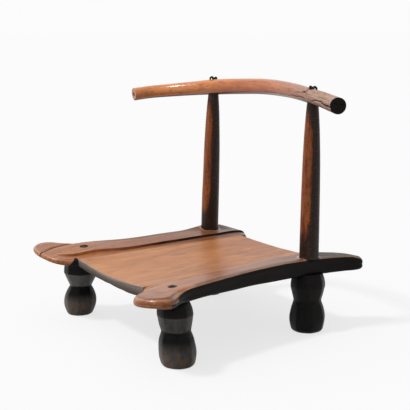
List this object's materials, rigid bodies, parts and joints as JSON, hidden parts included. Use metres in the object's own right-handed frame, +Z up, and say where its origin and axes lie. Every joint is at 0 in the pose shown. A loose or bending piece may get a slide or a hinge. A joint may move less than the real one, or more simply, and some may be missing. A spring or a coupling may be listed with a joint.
{
  "type": "african birthing chair",
  "caption": "Low carved birthing chair: dished wooden seat with paddle-ended side rails on stubby waisted legs, and an open back of posts under a curved branch.",
  "frame": {"origin": "on the floor, under the middle of the chair's bounding box", "axes": "+Z up, -Y towards the front of the seat, +X towards the sitter's left"},
  "size_m": [0.6196, 0.5522, 0.5026],
  "materials": {
    "rail_wood": "hand-carved hardwood, worn to a satin orange-brown on top and sooty near-black at the edges",
    "panel_wood": "satin, worn smooth by use, fine grain from front to back",
    "leg_wood": "near-black patina with small adze facets and a dull sheen",
    "post_wood": "dark brown patina, polished",
    "branch_wood": "glossy orange-brown branch, dusty and charred towards its ends",
    "peg_wood": "plain wood, hidden",
    "iron": "forged iron, dark and slightly rusted"
  },
  "bodies": {
    "root": {"back_post_left": "post_wood", "back_post_right": "post_wood", "back_rail": "branch_wood", "front_leg_left": "leg_wood", "front_leg_right": "leg_wood", "iron_pin_left": "iron", "iron_pin_right": "iron", "leg_nail_left": "iron", "leg_nail_right": "iron", "panel_pegs_left": "peg_wood", "panel_pegs_right": "peg_wood", "rear_leg_left": "leg_wood", "rear_leg_right": "leg_wood", "seat_panel": "panel_wood", "side_rail_left": "rail_wood", "side_rail_right": "rail_wood"}
  },
  "joints": []
}
